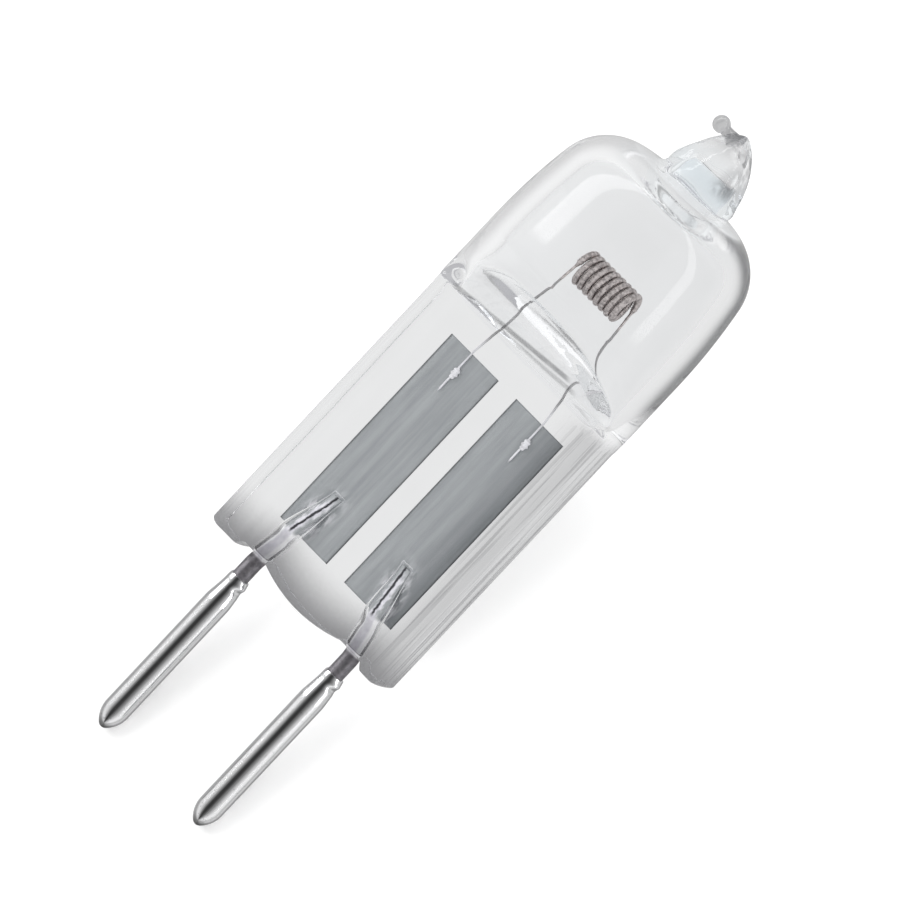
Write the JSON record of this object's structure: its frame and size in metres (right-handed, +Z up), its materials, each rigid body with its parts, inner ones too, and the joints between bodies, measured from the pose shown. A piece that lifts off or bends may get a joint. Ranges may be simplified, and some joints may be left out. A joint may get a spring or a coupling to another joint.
{
  "type": "halogen capsule bulb",
  "caption": "Clear quartz capsule lamp with a flat pinch, sealed tip, transverse coil filament and a two-pin base, lying on its bulb and pins.",
  "frame": {"origin": "on the surface that the lamp lies on, under the middle of its box", "axes": "+Z up, +X along the lying lamp towards its sealed tip, +Y across it to the left pin as seen with the lamp upright and its foils' welded face in front"},
  "size_m": [0.039, 0.0112, 0.0116],
  "materials": {
    "quartz": "clear fused quartz",
    "tungsten": "drawn tungsten wire",
    "foil": "rolled molybdenum foil",
    "lead_wire": "dull drawn wire",
    "pin_plating": "bright nickel plating"
  },
  "bodies": {
    "root": {"quartz_envelope": "quartz", "filament": "tungsten", "left_foil": "foil", "right_foil": "foil", "left_lead": "lead_wire", "right_lead": "lead_wire", "left_contact_pin": "pin_plating", "right_contact_pin": "pin_plating"}
  },
  "joints": []
}
